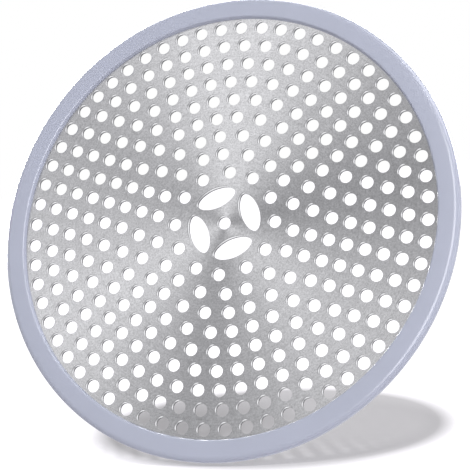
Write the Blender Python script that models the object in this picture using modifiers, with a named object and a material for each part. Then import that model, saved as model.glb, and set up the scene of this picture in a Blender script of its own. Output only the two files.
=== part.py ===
"""Drain hair catcher: a perforated steel disc, dished a little, with its edge in a moulded silicone rim."""

import math

import bmesh
import bpy

# Sizes in metres
RIM_OUTER_RADIUS = 0.0622
RIM_HEIGHT = 0.0032
RIM_WIDTH = 0.0058
LIP_LEAN = 0.0005
LIP_EDGE_ROUND = 0.0003
SHOULDER_WIDTH = 0.0016
SHOULDER_DROP = 0.0012
FOOT_INSET = 0.0014
FOOT_RISE = 0.0014
FOOT_WIDTH = 0.0048

PLATE_THICKNESS = 0.0007
PLATE_SEAT_HEIGHT = 0.0014
PLATE_GRIP = 0.0026
FIT_GAP = 0.0003
WELD_DISTANCE = 0.000003

DISH_DEPTH = 0.00106
DISH_MARGIN = 0.0002

HOLE_DIAMETER = 0.0034
OUTER_RING_MARGIN = 0.0024
INNER_RING_RADIUS = 0.0138
INNER_RING_OFFSET = 0.0038
INNER_RING_GAP = 0.0052

SLOT_LENGTH = 0.0107
SLOT_WIDTH = 0.0050
SLOT_INNER_RADIUS = 0.0048

# Counts, shares and angles
RING_COUNT = 9
SECTOR_COUNT = 6
INNER_RING_HOLES = 2
SLOT_COUNT = 4
ROW_PITCH_SHARE = 1.12
SLOT_FULLNESS = 1.85
SECTOR_TURN = math.radians(21.7)

# Facets
ROUND_SIDES = 88
HOLE_SIDES = 8
SLOT_SIDES = 16
SHOULDER_SIDES = 3
FOOT_SIDES = 2
LIP_SIDES = 1
SHARP_ANGLE = math.radians(35)

# Sizes that follow from those above
LIP_RADIUS = RIM_OUTER_RADIUS - RIM_WIDTH
PLATE_RADIUS = LIP_RADIUS + PLATE_GRIP
PLATE_TOP = PLATE_SEAT_HEIGHT + PLATE_THICKNESS
DISH_RADIUS = LIP_RADIUS - DISH_MARGIN
OUTER_RING_RADIUS = LIP_RADIUS - OUTER_RING_MARGIN
SECOND_RING_RADIUS = INNER_RING_RADIUS + INNER_RING_GAP
RING_PITCH = (OUTER_RING_RADIUS - SECOND_RING_RADIUS) / (RING_COUNT - 2)
ROW_PITCH = RING_PITCH * ROW_PITCH_SHARE
SECTOR_ANGLE = 2 * math.pi / SECTOR_COUNT

STEEL_COLOUR = (0.56, 0.56, 0.58, 1.0)
STEEL_ROUGHNESS = 0.3
STEEL_METALLIC = 1.0
SILICONE_COLOUR = (0.45, 0.47, 0.56, 1.0)
SILICONE_ROUGHNESS = 0.45
SILICONE_METALLIC = 0.0


def clear_scene():
    for thing in list(bpy.data.objects):
        bpy.data.objects.remove(thing, do_unlink=True)


def make_collection(name):
    collection = bpy.data.collections.new(name)
    bpy.context.scene.collection.children.link(collection)
    return collection


def make_material(name, colour, roughness, metallic):
    material = bpy.data.materials.new(name)
    material.use_nodes = True
    shader = material.node_tree.nodes["Principled BSDF"]
    shader.inputs["Base Color"].default_value = colour
    shader.inputs["Roughness"].default_value = roughness
    shader.inputs["Metallic"].default_value = metallic
    return material


def circle_points(centre, radius, sides):
    """Points round a circle, the first one at +X."""
    turns = [2 * math.pi * i / sides for i in range(sides)]
    return [(centre[0] + radius * math.cos(a), centre[1] + radius * math.sin(a)) for a in turns]


def slot_points(angle):
    """An oval with slightly pointed ends, its long axis across the radius at this angle."""
    middle = SLOT_INNER_RADIUS + SLOT_WIDTH / 2
    points = []
    for i in range(SLOT_SIDES):
        turn = 2 * math.pi * i / SLOT_SIDES
        along, across = math.cos(turn), math.sin(turn)
        out = middle + SLOT_WIDTH / 2 * math.copysign(abs(along) ** (2 / SLOT_FULLNESS), along)
        side = SLOT_LENGTH / 2 * math.copysign(abs(across) ** (2 / SLOT_FULLNESS), across)
        x = out * math.cos(angle) - side * math.sin(angle)
        y = out * math.sin(angle) + side * math.cos(angle)
        points.append((x, y))
    return points


def ring_radius(ring):
    return INNER_RING_RADIUS if ring == 0 else SECOND_RING_RADIUS + (ring - 1) * RING_PITCH


def half_sector_angles(ring):
    """Angles of one ring's holes from a sector's middle to its edge.

    The holes stand in rows that run parallel to the middle line, one row pitch apart.
    The last hole shares out what is left up to its mirror image across the sector's edge.
    """
    holes = ring + INNER_RING_HOLES
    if ring == 0:
        return [math.asin(INNER_RING_OFFSET / INNER_RING_RADIUS)]
    rows = (holes + 1) // 2
    angles = [math.asin((i + 0.5) * ROW_PITCH / ring_radius(ring)) for i in range(rows - 1)]
    spaces = 3 if holes % 2 == 0 else 2
    angles.append(angles[-1] + (SECTOR_ANGLE - 2 * angles[-1]) / spaces)
    return angles


def hole_centres():
    centres = [(0.0, 0.0)]
    for ring in range(RING_COUNT):
        angles = half_sector_angles(ring)
        edge_hole = (ring + INNER_RING_HOLES) % 2 == 1
        mirrored = [-a for a in (angles[:-1] if edge_hole else angles)]
        for sector in range(SECTOR_COUNT):
            for angle in angles + mirrored:
                turn = SECTOR_TURN + sector * SECTOR_ANGLE + angle
                radius = ring_radius(ring)
                centres.append((radius * math.cos(turn), radius * math.sin(turn)))
    return centres


def dish_drop(radius):
    """How far the dished plate lies below its flat margin at this radius."""
    inward = max(0.0, 1 - (radius / DISH_RADIUS) ** 2)
    return DISH_DEPTH * inward


def add_outline(curve, points):
    spline = curve.splines.new("POLY")
    spline.points.add(len(points) - 1)
    for point, (x, y) in zip(spline.points, points):
        point.co = (x, y, 0, 1)
    spline.use_cyclic_u = True


def mesh_from_curve(name, curve):
    """The filled curve as a plain mesh, its caps still loose from its sides."""
    source = bpy.data.objects.new(name, curve)
    bpy.context.scene.collection.objects.link(source)
    graph = bpy.context.evaluated_depsgraph_get()
    mesh = bpy.data.meshes.new_from_object(source.evaluated_get(graph))
    bpy.data.objects.remove(source)
    bpy.data.curves.remove(curve)
    return mesh


def make_plate(collection, parent):
    curve = bpy.data.curves.new("perforated_plate_outline", "CURVE")
    curve.dimensions = "2D"
    curve.fill_mode = "BOTH"
    curve.extrude = PLATE_THICKNESS / 2
    add_outline(curve, circle_points((0, 0), PLATE_RADIUS, ROUND_SIDES))
    for centre in hole_centres():
        add_outline(curve, circle_points(centre, HOLE_DIAMETER / 2, HOLE_SIDES))
    for slot in range(SLOT_COUNT):
        add_outline(curve, slot_points(2 * math.pi * slot / SLOT_COUNT))
    mesh = mesh_from_curve("perforated_plate", curve)

    shape = bmesh.new()
    shape.from_mesh(mesh)
    bmesh.ops.remove_doubles(shape, verts=shape.verts, dist=WELD_DISTANCE)
    for vertex in shape.verts:
        vertex.co.z -= dish_drop(vertex.co.xy.length)
    bmesh.ops.recalc_face_normals(shape, faces=shape.faces)
    shape.to_mesh(mesh)
    shape.free()
    mesh.shade_smooth()
    mesh.set_sharp_from_angle(angle=SHARP_ANGLE)

    plate = bpy.data.objects.new("perforated_plate", mesh)
    plate.location = (0, 0, PLATE_SEAT_HEIGHT + PLATE_THICKNESS / 2)
    plate.parent = parent
    plate.data.materials.append(
        make_material("brushed_steel", STEEL_COLOUR, STEEL_ROUGHNESS, STEEL_METALLIC)
    )
    collection.objects.link(plate)


def arc(centre, size, start, end, sides):
    """(radius, height) points along an elliptical arc of the profile, both ends included."""
    points = []
    for i in range(sides + 1):
        turn = start + (end - start) * i / sides
        radius = centre[0] + size[0] * math.cos(turn)
        height = centre[1] + size[1] * math.sin(turn)
        points.append((radius, height))
    return points


def rim_profile():
    """The rim's cross-section as (radius, height), from the lip's top down its outer side and round."""
    quarter = math.pi / 2
    shoulder_centre = (RIM_OUTER_RADIUS - SHOULDER_WIDTH, RIM_HEIGHT - SHOULDER_DROP)
    foot_centre = (RIM_OUTER_RADIUS - FOOT_INSET, FOOT_RISE)
    foot_inner_radius = foot_centre[0] - FOOT_WIDTH
    groove_radius = PLATE_RADIUS + FIT_GAP
    groove_floor = PLATE_SEAT_HEIGHT - FIT_GAP
    groove_roof = PLATE_TOP + FIT_GAP
    lip_centre = (LIP_RADIUS + LIP_LEAN + LIP_EDGE_ROUND, RIM_HEIGHT - LIP_EDGE_ROUND)

    points = arc(shoulder_centre, (SHOULDER_WIDTH, SHOULDER_DROP), quarter, 0, SHOULDER_SIDES)
    points += arc(foot_centre, (FOOT_INSET, FOOT_RISE), 0, -quarter, FOOT_SIDES)
    points += [(foot_inner_radius, 0), (foot_inner_radius, groove_floor)]
    points += [(groove_radius, groove_floor), (groove_radius, groove_roof), (LIP_RADIUS, groove_roof)]
    points += arc(lip_centre, (LIP_EDGE_ROUND, LIP_EDGE_ROUND), 2 * quarter, quarter, LIP_SIDES)
    return points


def make_rim(collection, parent):
    profile = rim_profile()
    mesh = bpy.data.meshes.new("silicone_rim")
    edges = [(i, (i + 1) % len(profile)) for i in range(len(profile))]
    mesh.from_pydata([(radius, 0, height) for radius, height in profile], edges, [])
    rim = bpy.data.objects.new("silicone_rim", mesh)
    rim.parent = parent
    rim.data.materials.append(
        make_material("grey_silicone", SILICONE_COLOUR, SILICONE_ROUGHNESS, SILICONE_METALLIC)
    )
    collection.objects.link(rim)
    turn = rim.modifiers.new("turned round the middle", "SCREW")
    turn.axis = "Z"
    turn.angle = 2 * math.pi
    turn.steps = ROUND_SIDES
    turn.render_steps = ROUND_SIDES
    turn.use_merge_vertices = True
    turn.merge_threshold = WELD_DISTANCE
    turn.use_smooth_shade = True


def main():
    clear_scene()
    collection = make_collection("drain_hair_catcher")
    centre = bpy.data.objects.new("foot_centre", None)
    collection.objects.link(centre)
    make_plate(collection, centre)
    make_rim(collection, centre)


main()
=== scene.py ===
"""Drain hair catcher: a perforated steel disc in a silicone rim, on its edge on a white floor."""

import math

import bpy
from mathutils import Matrix, Vector


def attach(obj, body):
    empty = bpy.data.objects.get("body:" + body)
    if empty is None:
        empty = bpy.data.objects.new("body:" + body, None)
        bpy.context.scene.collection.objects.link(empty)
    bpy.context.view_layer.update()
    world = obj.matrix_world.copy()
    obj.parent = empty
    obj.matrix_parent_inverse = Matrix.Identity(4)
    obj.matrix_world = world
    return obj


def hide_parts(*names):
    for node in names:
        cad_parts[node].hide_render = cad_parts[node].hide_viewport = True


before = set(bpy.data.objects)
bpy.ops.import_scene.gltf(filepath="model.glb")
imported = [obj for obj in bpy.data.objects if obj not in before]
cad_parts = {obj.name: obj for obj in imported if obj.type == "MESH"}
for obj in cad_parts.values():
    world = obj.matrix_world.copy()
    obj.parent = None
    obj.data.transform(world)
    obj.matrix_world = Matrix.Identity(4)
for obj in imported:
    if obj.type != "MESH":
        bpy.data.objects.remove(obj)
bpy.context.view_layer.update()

# Turns in radians, the reach of a weld in metres, and what a vector is multiplied by to lie flat
FULL_TURN = 2 * math.pi
QUARTER_TURN = math.pi / 2
WELD_DISTANCE = 0.000001
SIDEWAYS_ONLY = (1.0, 1.0, 0.0)

# Perforated plate, in metres. Its holes are round here and eight-sided in the solid, with about
# the same area.
PLATE_RADIUS = 0.0590
PLATE_THICKNESS = 0.0007
PLATE_SEAT_HEIGHT = 0.0014
DISH_DEPTH = 0.00106
DISH_RADIUS = 0.0562
HOLE_RADIUS = 0.00163
HOLE_EDGE_ROUND = 0.00045

RING_COUNT = 9
SECTOR_COUNT = 6
SECTOR_ANGLE = FULL_TURN / SECTOR_COUNT
SECTOR_TURN = math.radians(21.7)
INNER_RING_HOLES = 2
INNER_RING_RADIUS = 0.0138
INNER_RING_OFFSET = 0.0038
SECOND_RING_RADIUS = 0.0190
RING_PITCH = 0.0050
ROW_PITCH = 0.0056

SLOT_COUNT = 4
SLOT_LENGTH = 0.0107
SLOT_WIDTH = 0.0050
SLOT_INNER_RADIUS = 0.0048
SLOT_FULLNESS = 1.85

# The sheet is raised in storeys: the wall of an opening, then the steps of its rounded edge
STOREYS = 3
HOLE_SIDES = 20
SLOT_SIDES = 44
EDGE_SIDES = 256
PLATE_SHARP_ANGLE = math.radians(8)

# Silicone rim, in metres
RIM_OUTER_RADIUS = 0.0622
RIM_HEIGHT = 0.0032
LIP_RADIUS = 0.0564
LIP_LEAN = 0.0002
LIP_EDGE_WIDTH = 0.0006
LIP_EDGE_ROUND = 0.0004
LIP_EDGE_START = math.radians(150)
SHOULDER_WIDTH = 0.0016
SHOULDER_DROP = 0.0012
FOOT_INSET = 0.0014
FOOT_RISE = 0.0014
FOOT_WIDTH = 0.0048
FOOT_BEVEL = 0.0007
RIM_SEAT_GAP = 0.00001
RIM_GROOVE_GAP = 0.0003

RIM_SIDES = 256
SHOULDER_SIDES = 10
FOOT_SIDES = 8
LIP_SIDES = 6
RIM_SHARP_ANGLE = math.radians(35)

# Grain and blotches of a handled surface: detail and roughness of their noise
BLOTCH_NOISE = (3.0, 0.55)
GRAIN_NOISE = (2.0, 0.6)

# Steel: how far its blue lies above its grey, and the painted sheen: the grey of each bright and
# dark reflection fan by its place in turns from SHEEN_FANS_START
STEEL_BLUE = 3
SHEEN_FANS_START = math.radians(65.4)
PAINTED_SHEEN_FANS = (
    (0.000, 161),
    (0.136, 203),
    (0.289, 156),
    (0.497, 210),
    (0.672, 168),
    (0.850, 207),
    (1.000, 161),
)

# Brushing: changes in each radian round the middle, metres along the radius for one change, and
# the roughness of the noise
BRUSHED_RINGS = (3.0, 0.00045, 0.7)
RADIAL_STREAKS = (18.0, 0.02, 0.6)
BRUSHING_DETAIL = 3.0

# Sizes of the steel's blotches and grain, in metres
STEEL_BLOTCH_SIZE = 0.03
STEEL_GRAIN_SIZE = 0.00042

# Shares of the painted sheen fans' grey, at the low and the high end of each pattern
RING_TONES = (0.78, 1.22)
STREAK_TONES = (0.92, 1.08)
GRAIN_TONES = (0.52, 1.48)

# The side that shines on the steel, and painted shade across the disc: shares of the steel's grey
# at the edge far from that side and at the edge near it
SHINING_SIDE = (-0.565, 0.825, 0.0)
PAINTED_SHADE_FALL = (1.10, 0.90)

# Roughness at both ends of the blotches and what the rings add; bump strength and depth in metres
STEEL_ROUGHNESS = (0.24, 0.34)
RING_ROUGHNESS = (-0.05, 0.05)
RING_BUMP = (0.25, 0.00002)
STEEL_ANISOTROPY = 0.6

# Cut edge of an opening, painted with light and shade: greys of the painted shade on its wall and
# of the painted dark reflection in the outline between rounded edge and flat face, the storeys at
# which rounded edge and outline begin, and how near either end the flat faces lie
CUT_WALL_SHADE_GREY = 110
CUT_OUTLINE_REFLECTION_GREY = 130
CUT_ROUNDED_FROM = 1.45
CUT_OUTLINE_FROM = 2.65
CUT_FLAT_MARGIN = 0.01

# By how squarely an edge faces the shining side (0 not at all, 1 fully): where the cut's painted
# light and shade fade in, and the grey of the painted highlight on its rounded edge
CUT_SHOWS = (0.45, 0.70)
ROUNDED_HIGHLIGHT_TONES = ((0.00, 215), (0.50, 225), (0.84, 245), (0.94, 220), (1.00, 178))

# Silicone: screen colour, sizes in metres, shares of its colour, roughness, bump, and the share
# and the depth of the light that sinks in
SILICONE_COLOUR = (165, 169, 185)
SILICONE_BLOTCH_SIZE = 0.012
SILICONE_GRAIN_SIZE = 0.00025
SILICONE_BLOTCH_TONES = (0.97, 1.03)
SILICONE_GRAIN_TONES = (0.975, 1.025)
SILICONE_ROUGHNESS = (0.16, 0.24)
SILICONE_BUMP = (0.2, 0.00003)
SILICONE_IOR = 1.45
SILICONE_LIGHT_SHARE = 0.12
SILICONE_LIGHT_DEPTH = 0.0006

# Camera and floor, in the disc's own frame: the disc lies flat and the floor is tilted under it
CAMERA_PLACE = Vector((-0.09084, 0.15582, 0.36393))
CAMERA_TARGET = Vector((-0.00199, 0.00476, 0.00209))
CAMERA_ROLL = math.radians(51.42)
CAMERA_LENS = 120.04
CAMERA_NEAREST = 0.01
FLOOR_UP = Vector((-0.3298, -0.8724, 0.3607)).normalized()
FLOOR_RIGHT = Vector((-0.9240, 0.2200, -0.3128))
FLOOR_CONTACT = Vector((0.02196, 0.05809, 0.00090))
FLOOR_GAP = 0.0006
FLOOR_SIZE = 4.0

# Paper of the floor: its colour, and the share of it that the camera sees under the glow, which
# paints the shadow
PAPER_TINT = (0.93, 0.91, 0.93)
PAPER_SHOWN = 0.36

# Painted shadow on the floor: an oval, in metres to the right of and behind the place where the
# rim touches the floor, and turned by SHADOW_TURN radians. Inside it the glow is low and paints
# the shadow's shape over the lamps' real shadow. The glow rises to full between two shares of its
# radius.
SHADOW_MIDDLE = (0.0160, 0.0470)
SHADOW_HALF_SIZE = (0.0456, 0.0569)
SHADOW_TURN = 0.317
SHADOW_FADE = (0.96, 1.12)
# SHADOW_TINT is the glow's colour, which tints the painted shadow
SHADOW_TINT = (0.97, 0.955, 1.0, 1.0)

# The painted shadow's darkest place, and its glow at two distances from there
SHADOW_DARKEST = (-0.010, 0.055)
SHADOW_DARK_RADII = (0.016, 0.040)
SHADOW_GLOWS = (0.205, 0.355)

# Lamps: direction as (right, towards the camera, up), width and height in metres, and the share of
# plain white that each gives. The world gives SKY_SHARE.
LAMP_DISTANCE = 2.5
SOFT_LAMPS = {
    "key_softbox": ((0.065, 0.486, 0.873), (0.20, 0.70), 0.62),
    "overhead_softbox": ((0.0, -0.225, 0.974), (0.30, 1.15), 0.08),
    "side_softbox": ((0.73, 0.62, 0.28), (0.9, 0.9), 0.42),
}
GLOSS_STRIPS = {
    "front_strip": ((-0.09, 0.886, 0.454), (1.0, 1.9), 0.80),
    "right_strip": ((0.46, 0.23, 0.86), (1.6, 1.6), 0.68),
    "overhead_strip": ((-0.15, -0.52, 0.84), (1.30, 1.8), 1.60),
    "left_back_strip": ((-0.60, -0.69, 0.38), (1.3, 1.6), 2.90),
    "backdrop_strip": ((-0.05, -0.95, 0.28), (3.0, 1.6), 3.00),
}
SKY_SHARE = 0.37


# Colours, nodes and objects


def linear(level):
    """A 0 to 255 screen level as linear light."""
    share = level / 255
    return share / 12.92 if share <= 0.04045 else ((share + 0.055) / 1.055) ** 2.4


def colour(red, green, blue):
    return (linear(red), linear(green), linear(blue), 1.0)


def steel_grey(grey):
    """A grey of the screen with the faint blue of steel."""
    return colour(grey, grey, grey + STEEL_BLUE)


def put(tree, kind, inputs=None, **settings):
    """Adds a node to a tree. Each input is a plain value or the output that feeds it."""
    node = tree.nodes.new(kind)
    for name, value in settings.items():
        setattr(node, name, value)
    for key, value in (inputs or {}).items():
        if isinstance(value, bpy.types.NodeSocket):
            tree.links.new(value, node.inputs[key])
        else:
            node.inputs[key].default_value = value
    return node


def maths(tree, operation, *values):
    """The output of one Math node."""
    return put(tree, "ShaderNodeMath", dict(enumerate(values)), operation=operation).outputs[0]


def vector_maths(tree, operation, values):
    return put(tree, "ShaderNodeVectorMath", values, operation=operation).outputs


def vectors(tree, operation, *values):
    """The vector output of one Vector Math node."""
    return vector_maths(tree, operation, dict(enumerate(values)))["Vector"]


def scaled(tree, vector, scale):
    return vector_maths(tree, "SCALE", {0: vector, "Scale": scale})["Vector"]


def length(tree, vector):
    return vector_maths(tree, "LENGTH", {0: vector})["Value"]


def dot(tree, first, second):
    return vector_maths(tree, "DOT_PRODUCT", {0: first, 1: second})["Value"]


def upright(tree, height):
    """The vector that stands straight up to this height."""
    return put(tree, "ShaderNodeCombineXYZ", {"Z": height}).outputs[0]


def new_tree(name, kind, inputs, outputs):
    """A node group with named inputs, each a name, a socket type and a value, and named outputs."""
    tree = bpy.data.node_groups.new(name, kind)
    for label, socket_type, value in inputs:
        socket = tree.interface.new_socket(label, in_out="INPUT", socket_type=socket_type)
        if value is not None:
            socket.default_value = value
    for label, socket_type in outputs:
        tree.interface.new_socket(label, in_out="OUTPUT", socket_type=socket_type)
    return tree, tree.nodes.new("NodeGroupInput"), tree.nodes.new("NodeGroupOutput")


def in_scene(name, data):
    """A new object that holds this data."""
    thing = bpy.data.objects.new(name, data)
    bpy.context.scene.collection.objects.link(thing)
    return thing


def applied(source, name):
    """A plain mesh of what an object's modifiers make of it. The object itself goes."""
    graph = bpy.context.evaluated_depsgraph_get()
    mesh = bpy.data.meshes.new_from_object(source.evaluated_get(graph))
    source.modifiers.clear()
    bpy.data.objects.remove(source)
    mesh.name = name
    return mesh


# Perforated plate


def ring_radius(ring):
    return INNER_RING_RADIUS if ring == 0 else SECOND_RING_RADIUS + (ring - 1) * RING_PITCH


def half_sector_angles(ring):
    """Angles of one ring's holes from a sector's middle to its edge.

    The holes stand in rows that run parallel to the middle line, one row pitch apart.
    The last hole shares out what is left up to its mirror image across the sector's edge, and
    stands on that edge itself where a sector has an odd number of holes.
    """
    holes = ring + INNER_RING_HOLES
    if ring == 0:
        return [math.asin(INNER_RING_OFFSET / INNER_RING_RADIUS)]
    rows = (holes + 1) // 2
    angles = [math.asin((i + 0.5) * ROW_PITCH / ring_radius(ring)) for i in range(rows - 1)]
    spaces = 3 if holes % 2 == 0 else 2
    angles.append(angles[-1] + (SECTOR_ANGLE - 2 * angles[-1]) / spaces)
    return angles


def hole_centres():
    centres = [(0.0, 0.0, 0.0)]
    for ring in range(RING_COUNT):
        angles = half_sector_angles(ring)
        edge_hole = (ring + INNER_RING_HOLES) % 2 == 1
        mirrored = [-angle for angle in (angles[:-1] if edge_hole else angles)]
        radius = ring_radius(ring)
        for sector in range(SECTOR_COUNT):
            for angle in angles + mirrored:
                turn = SECTOR_TURN + sector * SECTOR_ANGLE + angle
                centres.append((radius * math.cos(turn), radius * math.sin(turn), 0.0))
    return centres


def superellipse(tree, value, half_size, power):
    """half_size times a circle's cosine or sine, raised to a power with its sign kept."""
    size = maths(tree, "POWER", maths(tree, "ABSOLUTE", value), power)
    signed = maths(tree, "MULTIPLY", size, maths(tree, "SIGN", value))
    return maths(tree, "MULTIPLY", signed, half_size)


def circle(tree, sides, radius):
    return put(tree, "GeometryNodeCurvePrimitiveCircle", {
        "Resolution": sides,
        "Radius": radius,
    }).outputs["Curve"]


def slot_outlines(tree, sizes):
    """The four oval slots round the middle, as closed curves."""
    round_slot = circle(tree, sizes["Slot Sides"], 1.0)
    place = put(tree, "GeometryNodeInputPosition").outputs[0]
    xyz = put(tree, "ShaderNodeSeparateXYZ", {0: place}).outputs
    power = maths(tree, "DIVIDE", 2.0, sizes["Slot Fullness"])
    half_width = maths(tree, "MULTIPLY", sizes["Slot Width"], 0.5)
    half_length = maths(tree, "MULTIPLY", sizes["Slot Length"], 0.5)
    oval = put(tree, "GeometryNodeSetPosition", {
        "Geometry": round_slot,
        "Position": put(tree, "ShaderNodeCombineXYZ", {
            "X": superellipse(tree, xyz["X"], half_width, power),
            "Y": superellipse(tree, xyz["Y"], half_length, power),
        }).outputs[0],
    })
    middle = maths(tree, "ADD", sizes["Slot Inner Radius"], half_width)
    places = put(tree, "GeometryNodeMeshCircle", {"Vertices": SLOT_COUNT, "Radius": middle})
    index = put(tree, "GeometryNodeInputIndex").outputs[0]
    return put(tree, "GeometryNodeInstanceOnPoints", {
        "Points": places.outputs["Mesh"],
        "Instance": oval.outputs[0],
        "Rotation": upright(tree, maths(tree, "MULTIPLY", index, FULL_TURN / SLOT_COUNT)),
    }).outputs[0]


def joined(tree, *parts):
    """Several geometries as one."""
    node = put(tree, "GeometryNodeJoinGeometry")
    for part in parts:
        tree.links.new(part, node.inputs[0])
    return node.outputs[0]


def sheet_outlines(tree, sizes):
    """Every outline of the sheet as realised curves, each run with its open side on the left."""
    holes = put(tree, "GeometryNodeInstanceOnPoints", {
        "Points": sizes["Hole Places"],
        "Instance": circle(tree, sizes["Hole Sides"], sizes["Hole Radius"]),
    }).outputs[0]
    edge = circle(tree, sizes["Edge Sides"], sizes["Plate Radius"])
    reversed_edge = put(tree, "GeometryNodeReverseCurve", {0: edge}).outputs[0]
    outlines = joined(tree, reversed_edge, slot_outlines(tree, sizes), holes)
    return put(tree, "GeometryNodeRealizeInstances", {0: outlines}).outputs[0]


def into_opening(tree, flat_place, outlines):
    """For any point of the sheet, the flat direction from its outline into the opening."""
    marks = put(tree, "GeometryNodeCurveToPoints", {"Curve": outlines}, mode="EVALUATED").outputs
    left = vectors(tree, "CROSS_PRODUCT", (0.0, 0.0, 1.0), marks["Tangent"])
    nearest = put(tree, "GeometryNodeSampleNearest", {
        "Geometry": marks["Points"],
        "Sample Position": flat_place,
    }, domain="POINT")
    sample = put(tree, "GeometryNodeSampleIndex", {
        "Geometry": marks["Points"],
        "Value": left,
        "Index": nearest.outputs[0],
    }, data_type="FLOAT_VECTOR", domain="POINT")
    return vectors(tree, "NORMALIZE", sample.outputs[0])


def raised_in_storeys(tree, flat):
    """The flat sheet as a closed slab of storeys, one unit high each."""
    straight_up = upright(tree, 1.0)
    slab, top = flat, True
    for _ in range(STOREYS):
        raised = put(tree, "GeometryNodeExtrudeMesh", {
            "Mesh": slab,
            "Selection": top,
            "Offset": straight_up,
            "Offset Scale": 1.0,
            "Individual": False,
        }, mode="FACES")
        slab, top = raised.outputs["Mesh"], raised.outputs["Top"]
    underside = put(tree, "GeometryNodeFlipFaces", {0: flat}).outputs[0]
    return put(tree, "GeometryNodeMergeByDistance", {
        0: joined(tree, slab, underside),
        "Distance": WELD_DISTANCE,
    }).outputs[0]


def cut_steps(tree, storey, sizes):
    """How high wall and rounded edge rise by each storey, and how far back the edge goes."""
    wall = maths(tree, "MINIMUM", storey, 1.0)
    straight = maths(tree, "SUBTRACT", sizes["Thickness"], sizes["Edge Round"])
    on_edge = maths(tree, "MAXIMUM", maths(tree, "SUBTRACT", storey, 1.0), 0.0)
    edge_turn = maths(tree, "MULTIPLY", on_edge, QUARTER_TURN / (STOREYS - 1))
    edge_up = maths(tree, "MULTIPLY", maths(tree, "SINE", edge_turn), sizes["Edge Round"])
    back_share = maths(tree, "SUBTRACT", 1.0, maths(tree, "COSINE", edge_turn))
    edge_back = maths(tree, "MULTIPLY", back_share, sizes["Edge Round"])
    return maths(tree, "MULTIPLY", wall, straight), edge_up, edge_back


def dish_drop(tree, radius, sizes):
    """How far the dished plate lies below its flat margin at this radius."""
    share = maths(tree, "DIVIDE", radius, sizes["Dish Radius"])
    left_over = maths(tree, "SUBTRACT", 1.0, maths(tree, "MULTIPLY", share, share))
    return maths(tree, "MULTIPLY", maths(tree, "MAXIMUM", left_over, 0.0), sizes["Dish Depth"])


def perforated_sheet_tree():
    """Punches the sheet out, rounds the top edge of every opening, and dishes the whole."""
    tree, given, result = new_tree(
        "perforated_sheet",
        "GeometryNodeTree",
        [
            ("Hole Places", "NodeSocketGeometry", None),
            ("Plate Radius", "NodeSocketFloat", PLATE_RADIUS),
            ("Edge Sides", "NodeSocketInt", EDGE_SIDES),
            ("Hole Radius", "NodeSocketFloat", HOLE_RADIUS),
            ("Hole Sides", "NodeSocketInt", HOLE_SIDES),
            ("Slot Length", "NodeSocketFloat", SLOT_LENGTH),
            ("Slot Width", "NodeSocketFloat", SLOT_WIDTH),
            ("Slot Inner Radius", "NodeSocketFloat", SLOT_INNER_RADIUS),
            ("Slot Fullness", "NodeSocketFloat", SLOT_FULLNESS),
            ("Slot Sides", "NodeSocketInt", SLOT_SIDES),
            ("Thickness", "NodeSocketFloat", PLATE_THICKNESS),
            ("Edge Round", "NodeSocketFloat", HOLE_EDGE_ROUND),
            ("Seat Height", "NodeSocketFloat", PLATE_SEAT_HEIGHT),
            ("Dish Depth", "NodeSocketFloat", DISH_DEPTH),
            ("Dish Radius", "NodeSocketFloat", DISH_RADIUS),
            ("Finish", "NodeSocketMaterial", None),
        ],
        [("Sheet", "NodeSocketGeometry")],
    )
    sizes = given.outputs
    outlines = sheet_outlines(tree, sizes)
    flat = put(tree, "GeometryNodeFillCurve", {0: outlines}, mode="TRIANGLES").outputs[0]
    slab = raised_in_storeys(tree, flat)

    place = put(tree, "GeometryNodeInputPosition").outputs[0]
    storey = put(tree, "ShaderNodeSeparateXYZ", {0: place}).outputs["Z"]
    flat_place = vectors(tree, "MULTIPLY", place, SIDEWAYS_ONLY)
    wall_up, edge_up, edge_back = cut_steps(tree, storey, sizes)
    above_seat = maths(tree, "ADD", maths(tree, "ADD", sizes["Seat Height"], wall_up), edge_up)
    drop = dish_drop(tree, length(tree, flat_place), sizes)
    back = scaled(tree, into_opening(tree, flat_place, outlines), edge_back)
    upward = upright(tree, maths(tree, "SUBTRACT", above_seat, drop))

    marked = put(tree, "GeometryNodeStoreNamedAttribute", {
        "Geometry": slab,
        "Name": "cut_depth",
        "Value": storey,
    }, data_type="FLOAT", domain="POINT").outputs[0]
    shaped = put(tree, "GeometryNodeSetPosition", {
        "Geometry": marked,
        "Position": vectors(tree, "ADD", vectors(tree, "SUBTRACT", flat_place, back), upward),
    }).outputs[0]
    smooth = put(tree, "GeometryNodeSetShadeSmooth", {0: shaped}).outputs[0]
    realised = put(tree, "GeometryNodeRealizeInstances", {0: smooth}).outputs[0]
    finished = put(tree, "GeometryNodeSetMaterial", {
        "Geometry": realised,
        "Material": sizes["Finish"],
    }).outputs[0]
    tree.links.new(finished, result.inputs[0])
    return tree


def make_perforated_plate(finish):
    places = bpy.data.meshes.new("hole_places")
    places.from_pydata(hole_centres(), [], [])
    source = in_scene("hole_places", places)
    tree = perforated_sheet_tree()
    modifier = source.modifiers.new("perforated sheet", "NODES")
    modifier.node_group = tree
    values = {
        "Plate Radius": PLATE_RADIUS,
        "Hole Radius": HOLE_RADIUS,
        "Thickness": PLATE_THICKNESS,
        "Finish": finish,
    }
    for socket in tree.interface.items_tree:
        if socket.in_out == "INPUT" and socket.name in values:
            modifier[socket.identifier] = values[socket.name]
    mesh = applied(source, "steel_disc")
    mesh.set_sharp_from_angle(angle=PLATE_SHARP_ANGLE)
    plate = in_scene("steel_disc", mesh)
    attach(plate, "root")
    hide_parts("perforated_plate")


# Silicone rim


def arc(centre, size, start, end, sides):
    """(radius, height) points along an elliptical arc of the profile, both ends included."""
    points = []
    for i in range(sides + 1):
        turn = start + (end - start) * i / sides
        radius = centre[0] + size[0] * math.cos(turn)
        height = centre[1] + size[1] * math.sin(turn)
        points.append((radius, height))
    return points


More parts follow.
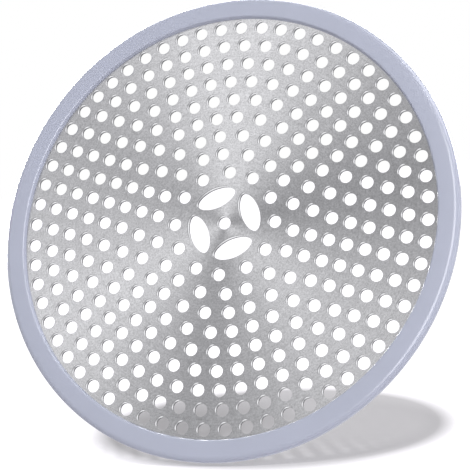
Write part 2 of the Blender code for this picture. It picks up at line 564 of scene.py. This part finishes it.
def rim_profile():
    """The rim's cross-section as (radius, height), from its shoulder down and round to its lip."""
    shoulder_centre = (RIM_OUTER_RADIUS - SHOULDER_WIDTH, RIM_HEIGHT - SHOULDER_DROP)
    foot_centre = (RIM_OUTER_RADIUS - FOOT_INSET, FOOT_RISE)
    foot_inner_radius = foot_centre[0] - FOOT_WIDTH
    groove_radius = PLATE_RADIUS + RIM_GROOVE_GAP
    groove_floor = PLATE_SEAT_HEIGHT - RIM_SEAT_GAP
    groove_roof = PLATE_SEAT_HEIGHT + PLATE_THICKNESS + RIM_SEAT_GAP
    lip_centre = (LIP_RADIUS + LIP_LEAN + LIP_EDGE_WIDTH, RIM_HEIGHT - LIP_EDGE_ROUND)
    lip_size = (LIP_EDGE_WIDTH, LIP_EDGE_ROUND)

    points = arc(shoulder_centre, (SHOULDER_WIDTH, SHOULDER_DROP), QUARTER_TURN, 0, SHOULDER_SIDES)
    points += arc(foot_centre, (FOOT_INSET, FOOT_RISE), 0, -QUARTER_TURN, FOOT_SIDES)
    points += [(foot_inner_radius + FOOT_BEVEL, 0.0), (foot_inner_radius, groove_floor)]
    points += [(groove_radius, groove_floor), (groove_radius, groove_roof)]
    points += [(LIP_RADIUS, groove_roof)]
    points += arc(lip_centre, lip_size, LIP_EDGE_START, QUARTER_TURN, LIP_SIDES)
    return points


def make_silicone_rim(finish):
    profile = rim_profile()
    outline = bpy.data.meshes.new("rim_profile")
    edges = [(i, (i + 1) % len(profile)) for i in range(len(profile))]
    outline.from_pydata([(radius, 0.0, height) for radius, height in profile], edges, [])
    source = in_scene("rim_profile", outline)
    turn = source.modifiers.new("turned round the middle", "SCREW")
    turn.axis = "Z"
    turn.angle = FULL_TURN
    turn.steps = RIM_SIDES
    turn.render_steps = RIM_SIDES
    turn.use_merge_vertices = True
    turn.merge_threshold = WELD_DISTANCE
    turn.use_smooth_shade = True
    mesh = applied(source, "rim_ring")
    mesh.set_sharp_from_angle(angle=RIM_SHARP_ANGLE)
    mesh.materials.clear()
    mesh.materials.append(finish)
    rim = in_scene("rim_ring", mesh)
    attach(rim, "root")
    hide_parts("silicone_rim")
    return rim


# Finishes


def stretched(tree, value, low, high, at_low, at_high):
    """Runs from at_low to at_high as a value goes from low to high, and stays level beyond."""
    return put(tree, "ShaderNodeMapRange", {
        "Value": value,
        "From Min": low,
        "From Max": high,
        "To Min": at_low,
        "To Max": at_high,
    }).outputs[0]


def spread(tree, value, low, high):
    """A 0 to 1 value stretched to run from low to high."""
    return stretched(tree, value, 0.0, 1.0, low, high)


def blend(tree, share, first, second):
    """The first colour turning to the second as share goes from 0 to 1."""
    mix = tree.nodes.new("ShaderNodeMix")
    mix.data_type = "RGBA"
    sockets = {socket.identifier: socket for socket in mix.inputs}
    tree.links.new(share, sockets["Factor_Float"])
    tree.links.new(first, sockets["A_Color"])
    tree.links.new(second, sockets["B_Color"])
    return next(socket for socket in mix.outputs if socket.identifier == "Result_Color")


def plain(tree, grey):
    """One steel grey, to be blended with others."""
    node = tree.nodes.new("ShaderNodeRGB")
    node.outputs[0].default_value = steel_grey(grey)
    return node.outputs[0]


def grey_ramp(tree, share, tones, interpolation="LINEAR"):
    """The steel grey that a list of (share, grey) pairs gives for a share from 0 to 1."""
    node = put(tree, "ShaderNodeValToRGB", {"Fac": share})
    ramp = node.color_ramp
    ramp.interpolation = interpolation
    while len(ramp.elements) < len(tones):
        ramp.elements.new(0.5)
    for stop, (place, grey) in zip(ramp.elements, tones):
        stop.position = place
        stop.color = steel_grey(grey)
    return node.outputs["Color"]


def noise(tree, place, scale, detail, roughness):
    return put(tree, "ShaderNodeTexNoise", {
        "Vector": place,
        "Scale": scale,
        "Detail": detail,
        "Roughness": roughness,
    }).outputs["Fac"]


def bumped(tree, height, strength, distance):
    """The normal of a surface that this height makes uneven."""
    return put(tree, "ShaderNodeBump", {
        "Height": height,
        "Strength": strength,
        "Distance": distance,
    }).outputs["Normal"]


def handled_surface_group():
    """Slow blotches from handling and a fine grain, each from 0 to 1, at sizes in metres."""
    tree, given, result = new_tree(
        "handled_surface",
        "ShaderNodeTree",
        [
            ("Place", "NodeSocketVector", None),
            ("Blotch Size", "NodeSocketFloat", STEEL_BLOTCH_SIZE),
            ("Grain Size", "NodeSocketFloat", STEEL_GRAIN_SIZE),
        ],
        [("Blotches", "NodeSocketFloat"), ("Grain", "NodeSocketFloat")],
    )
    place = given.outputs["Place"]
    for pattern, size, settings in (
        ("Blotches", "Blotch Size", BLOTCH_NOISE),
        ("Grain", "Grain Size", GRAIN_NOISE),
    ):
        scale = maths(tree, "DIVIDE", 1.0, given.outputs[size])
        tree.links.new(noise(tree, place, scale, *settings), result.inputs[pattern])
    return tree


def new_material(name):
    material = bpy.data.materials.new(name)
    material.use_nodes = True
    return material, material.node_tree, material.node_tree.nodes["Principled BSDF"]


def round_noise(tree, outward, radius, changes_per_radian, change_length, roughness):
    """Noise that runs round the middle of the disc at one pace and along its radius at another."""
    along = upright(tree, maths(tree, "DIVIDE", radius, change_length))
    place = vectors(tree, "ADD", scaled(tree, outward, changes_per_radian), along)
    return noise(tree, place, 1.0, BRUSHING_DETAIL, roughness)


def cut_light_and_shade(tree, depth, facing):
    """Painted light and shade of an opening's cut edge: painted shade on the wall, a painted
    highlight on the rounded edge, and a painted dark reflection in the outline round it.
    """
    rounded = grey_ramp(tree, facing, ROUNDED_HIGHLIGHT_TONES)
    on_rounded = maths(tree, "GREATER_THAN", depth, CUT_ROUNDED_FROM)
    on_outline = maths(tree, "GREATER_THAN", depth, CUT_OUTLINE_FROM)
    tones = blend(tree, on_rounded, plain(tree, CUT_WALL_SHADE_GREY), rounded)
    return blend(tree, on_outline, tones, plain(tree, CUT_OUTLINE_REFLECTION_GREY))


def brushed_steel(handled):
    """Steel brushed round the middle: painted sheen fans, fine rings, faint streaks, grain, painted
    shade across the disc, and cut edges painted with light and shade.
    """
    material, tree, shader = new_material("round_brushed_steel")
    coordinates = put(tree, "ShaderNodeTexCoord").outputs
    place = coordinates["Object"]
    flat_place = vectors(tree, "MULTIPLY", place, SIDEWAYS_ONLY)
    radius = length(tree, flat_place)
    outward = vectors(tree, "NORMALIZE", flat_place)

    # Painted sheen: bright and dark reflection fans round the middle, painted into the colour
    turned = put(tree, "ShaderNodeMapping", {
        "Vector": place,
        "Rotation": (0.0, 0.0, math.pi - SHEEN_FANS_START),
    }).outputs[0]
    gradient = put(tree, "ShaderNodeTexGradient", {"Vector": turned}, gradient_type="RADIAL")
    painted_sheen = grey_ramp(tree, gradient.outputs["Fac"], PAINTED_SHEEN_FANS, "EASE")
    rings = round_noise(tree, outward, radius, *BRUSHED_RINGS)
    streaks = round_noise(tree, outward, radius, *RADIAL_STREAKS)
    worn = put(tree, "ShaderNodeGroup", {
        "Place": place,
        "Blotch Size": STEEL_BLOTCH_SIZE,
        "Grain Size": STEEL_GRAIN_SIZE,
    }, node_tree=handled).outputs

    # Painted shade across the disc: its grey is darker towards the shining side and lighter away
    # from it
    towards_light = dot(tree, place, SHINING_SIDE)
    shade = maths(tree, "MULTIPLY", spread(tree, rings, *RING_TONES),
                  spread(tree, streaks, *STREAK_TONES))
    shade = maths(tree, "MULTIPLY", shade, spread(tree, worn["Grain"], *GRAIN_TONES))
    shade = maths(tree, "MULTIPLY", shade,
                  stretched(tree, towards_light, -DISH_RADIUS, DISH_RADIUS, *PAINTED_SHADE_FALL))
    face = scaled(tree, painted_sheen, shade)

    # Cut edges that face the shining side get painted shade, a painted highlight and a painted dark
    # reflection
    depth = put(tree, "ShaderNodeAttribute", attribute_name="cut_depth").outputs["Fac"]
    level_normal = vectors(tree, "MULTIPLY", coordinates["Normal"], SIDEWAYS_ONLY)
    facing = dot(tree, vectors(tree, "NORMALIZE", level_normal), SHINING_SIDE)
    from_middle = maths(tree, "ABSOLUTE", maths(tree, "SUBTRACT", depth, STOREYS / 2))
    on_cut = maths(tree, "LESS_THAN", from_middle, STOREYS / 2 - CUT_FLAT_MARGIN)
    shown = maths(tree, "MULTIPLY", on_cut, stretched(tree, facing, *CUT_SHOWS, 0.0, 1.0))
    base = blend(tree, shown, face, cut_light_and_shade(tree, depth, facing))
    tree.links.new(base, shader.inputs["Base Color"])

    polish = maths(tree, "ADD", spread(tree, worn["Blotches"], *STEEL_ROUGHNESS),
                   spread(tree, rings, *RING_ROUGHNESS))
    tree.links.new(polish, shader.inputs["Roughness"])
    tree.links.new(bumped(tree, rings, *RING_BUMP), shader.inputs["Normal"])
    tangent = put(tree, "ShaderNodeTangent", direction_type="RADIAL", axis="Z")
    tree.links.new(tangent.outputs[0], shader.inputs["Tangent"])
    shader.inputs["Metallic"].default_value = 1.0
    shader.inputs["Anisotropic"].default_value = STEEL_ANISOTROPY
    return material


def satin_silicone(handled):
    """Moulded silicone: a cool grey with a soft sheen, a fine moulded grain and faint blotches."""
    material, tree, shader = new_material("satin_blue_grey_silicone")
    worn = put(tree, "ShaderNodeGroup", {
        "Place": put(tree, "ShaderNodeTexCoord").outputs["Object"],
        "Blotch Size": SILICONE_BLOTCH_SIZE,
        "Grain Size": SILICONE_GRAIN_SIZE,
    }, node_tree=handled).outputs
    shade = maths(tree, "MULTIPLY", spread(tree, worn["Blotches"], *SILICONE_BLOTCH_TONES),
                  spread(tree, worn["Grain"], *SILICONE_GRAIN_TONES))
    base = scaled(tree, colour(*SILICONE_COLOUR)[:3], shade)
    tree.links.new(base, shader.inputs["Base Color"])
    roughness = spread(tree, worn["Blotches"], *SILICONE_ROUGHNESS)
    tree.links.new(roughness, shader.inputs["Roughness"])
    tree.links.new(bumped(tree, worn["Grain"], *SILICONE_BUMP), shader.inputs["Normal"])
    shader.inputs["IOR"].default_value = SILICONE_IOR
    shader.inputs["Subsurface Weight"].default_value = SILICONE_LIGHT_SHARE
    shader.inputs["Subsurface Radius"].default_value = (1.0, 1.0, 1.0)
    shader.inputs["Subsurface Scale"].default_value = SILICONE_LIGHT_DEPTH
    return material


# Studio


def background_rays(tree):
    """Two outputs: 1 for a camera ray, and 1 for a ray that is mirrored or let through."""
    path = put(tree, "ShaderNodeLightPath").outputs
    mirrored = maths(tree, "MAXIMUM", path["Is Glossy Ray"], path["Is Transmission Ray"])
    return path["Is Camera Ray"], mirrored


def make_world():
    """White to the camera and in reflections, and a plain share of white as light."""
    world = bpy.data.worlds.new("white_studio")
    world.use_nodes = True
    tree = world.node_tree
    background = tree.nodes["Background"]
    background.inputs["Color"].default_value = (1.0, 1.0, 1.0, 1.0)
    seen = maths(tree, "MAXIMUM", *background_rays(tree))
    tree.links.new(spread(tree, seen, SKY_SHARE, 1.0), background.inputs["Strength"])
    bpy.context.scene.world = world


def painted_shadow_glow(tree, place):
    """Strength of the paper's glow, which paints the shadow: full outside its oval, least at its
    darkest place.
    """
    oval = put(tree, "ShaderNodeMapping", {
        "Vector": place,
        "Location": (*SHADOW_MIDDLE, 0.0),
        "Rotation": (0.0, 0.0, SHADOW_TURN),
        "Scale": (*SHADOW_HALF_SIZE, 1.0),
    }, vector_type="TEXTURE").outputs[0]
    from_darkest = length(tree, vectors(tree, "SUBTRACT", place, (*SHADOW_DARKEST, 0.0)))
    within = stretched(tree, from_darkest, *SHADOW_DARK_RADII, *SHADOW_GLOWS)
    return stretched(tree, length(tree, oval), *SHADOW_FADE, within, 1.0)


def white_floor():
    """White paper that keeps the lamps' shadow in part, glows to the camera in a way that paints
    the shadow, and isn't there seen from below.
    """
    material, tree, shader = new_material("white_floor")
    tree.nodes.remove(shader)
    camera_ray, mirrored = background_rays(tree)
    place = put(tree, "ShaderNodeTexCoord").outputs["Object"]
    # The camera sees only a share of the paper's real light and shade; the glow paints the shadow
    # over it
    shown = spread(tree, camera_ray, 1.0, PAPER_SHOWN)
    paper = put(tree, "ShaderNodeBsdfDiffuse", {"Color": scaled(tree, PAPER_TINT, shown)})
    glow = put(tree, "ShaderNodeEmission", {
        "Color": SHADOW_TINT,
        "Strength": maths(tree, "MULTIPLY", camera_ray, painted_shadow_glow(tree, place)),
    })
    lit = put(tree, "ShaderNodeAddShader", {0: paper.outputs[0], 1: glow.outputs[0]})
    white = put(tree, "ShaderNodeEmission", {"Strength": 1.0})
    above = put(tree, "ShaderNodeMixShader", {0: mirrored, 1: lit.outputs[0], 2: white.outputs[0]})
    below = put(tree, "ShaderNodeBsdfTransparent")
    side = put(tree, "ShaderNodeNewGeometry").outputs["Backfacing"]
    whole = put(tree, "ShaderNodeMixShader", {0: side, 1: above.outputs[0], 2: below.outputs[0]})
    tree.links.new(whole.outputs[0], tree.nodes["Material Output"].inputs["Surface"])
    return material


def studio_turn(up):
    """The turn whose Z is up and whose X is as near as it can be to the floor's right."""
    right = (FLOOR_RIGHT - up * FLOOR_RIGHT.dot(up)).normalized()
    return Matrix((right, up.cross(right), up)).transposed().to_4x4()


def make_floor():
    half = FLOOR_SIZE / 2
    corners = [(-half, -half, 0), (half, -half, 0), (half, half, 0), (-half, half, 0)]
    mesh = bpy.data.meshes.new("studio_floor")
    mesh.from_pydata(corners, [], [(0, 1, 2, 3)])
    mesh.materials.append(white_floor())
    floor = in_scene("studio_floor", mesh)
    place = Matrix.Translation(FLOOR_CONTACT - FLOOR_UP * FLOOR_GAP)
    floor.matrix_world = place @ studio_turn(FLOOR_UP)


def make_softbox(name, direction, size, share):
    """A flat lamp that gives this share of plain white light on a surface that faces it."""
    lamp = bpy.data.lights.new(name, "AREA")
    lamp.shape = "RECTANGLE"
    lamp.size, lamp.size_y = size
    lamp.energy = share * math.pi ** 2 * LAMP_DISTANCE ** 2
    rightwards, nearer, upwards = direction
    in_studio = Vector((rightwards, -nearer, upwards)).normalized()
    toward = studio_turn(FLOOR_UP).to_3x3() @ in_studio
    softbox = in_scene(name, lamp)
    softbox.matrix_world = Matrix.Translation(toward * LAMP_DISTANCE) @ studio_turn(toward)
    softbox.visible_glossy = False
    softbox.visible_camera = False
    return softbox


def make_lamps(rim):
    """Softboxes that light everything, and strips that only draw highlights along the rim."""
    for name, values in SOFT_LAMPS.items():
        make_softbox(name, *values)
    shone_on = bpy.data.collections.new("shone_on_by_strips")
    shone_on.objects.link(rim)
    for name, values in GLOSS_STRIPS.items():
        strip = make_softbox(name, *values)
        strip.visible_glossy = True
        strip.visible_diffuse = False
        strip.light_linking.receiver_collection = shone_on


def make_camera():
    back = (CAMERA_PLACE - CAMERA_TARGET).normalized()
    level_up = Vector((0.0, 0.0, 1.0)) - back * back.z
    level_up.normalize()
    level_right = level_up.cross(back)
    up = level_up * math.cos(CAMERA_ROLL) + level_right * math.sin(CAMERA_ROLL)
    right = level_right * math.cos(CAMERA_ROLL) - level_up * math.sin(CAMERA_ROLL)
    data = bpy.data.cameras.new("photo_camera")
    data.lens = CAMERA_LENS
    data.clip_start = CAMERA_NEAREST
    camera = in_scene("photo_camera", data)
    turn = Matrix((right, up, back)).transposed().to_4x4()
    camera.matrix_world = Matrix.Translation(CAMERA_PLACE) @ turn
    bpy.context.scene.camera = camera


def main():
    handled = handled_surface_group()
    make_perforated_plate(brushed_steel(handled))
    rim = make_silicone_rim(satin_silicone(handled))
    make_world()
    make_floor()
    make_lamps(rim)
    make_camera()
    bpy.context.scene.view_settings.view_transform = "Standard"


main()
